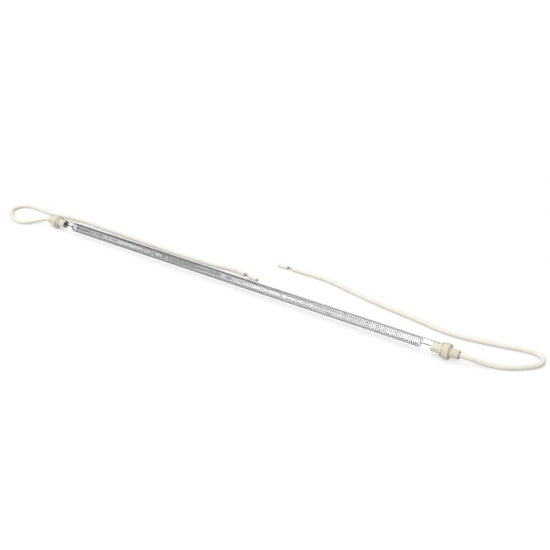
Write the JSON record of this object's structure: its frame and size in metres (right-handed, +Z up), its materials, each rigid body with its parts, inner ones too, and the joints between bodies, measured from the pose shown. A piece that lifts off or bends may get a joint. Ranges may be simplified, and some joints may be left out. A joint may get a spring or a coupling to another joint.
{
  "type": "quartz heating tube",
  "caption": "Clear quartz tube with a wound resistance coil inside, a grooved ceramic cap plugged into each end, and a heat-proof lead at each cap for wiring it into a heater.",
  "frame": {"origin": "under the middle of the quartz tube, on the surface that it lies on", "axes": "+X along the tube towards the end with the shorter lead, +Y back to the side where the leads lie, +Z up"},
  "size_m": [0.564, 0.0736, 0.013],
  "materials": {
    "quartz_glass": "clear, polished",
    "resistance_wire": "dull grey wire with a thin oxide",
    "white_ceramic": "unglazed, fine and matt",
    "plated_ferrule": "nickel-plated",
    "tinned_copper": "tinned copper strands",
    "lead_insulation": "cream braid with a smooth coat"
  },
  "bodies": {
    "root": {"quartz_tube": "quartz_glass", "heating_coil": "resistance_wire", "left_ceramic_cap": "white_ceramic", "right_ceramic_cap": "white_ceramic", "left_crimp_ferrule": "plated_ferrule", "right_crimp_ferrule": "plated_ferrule", "left_inner_conductor": "tinned_copper", "right_inner_conductor": "tinned_copper", "left_tail_strand": "resistance_wire", "right_tail_strand": "resistance_wire", "left_lead": "lead_insulation", "right_lead": "lead_insulation", "left_stripped_conductor": "tinned_copper", "right_stripped_conductor": "tinned_copper", "left_insulation_slug": "lead_insulation", "right_insulation_slug": "lead_insulation"}
  },
  "joints": []
}
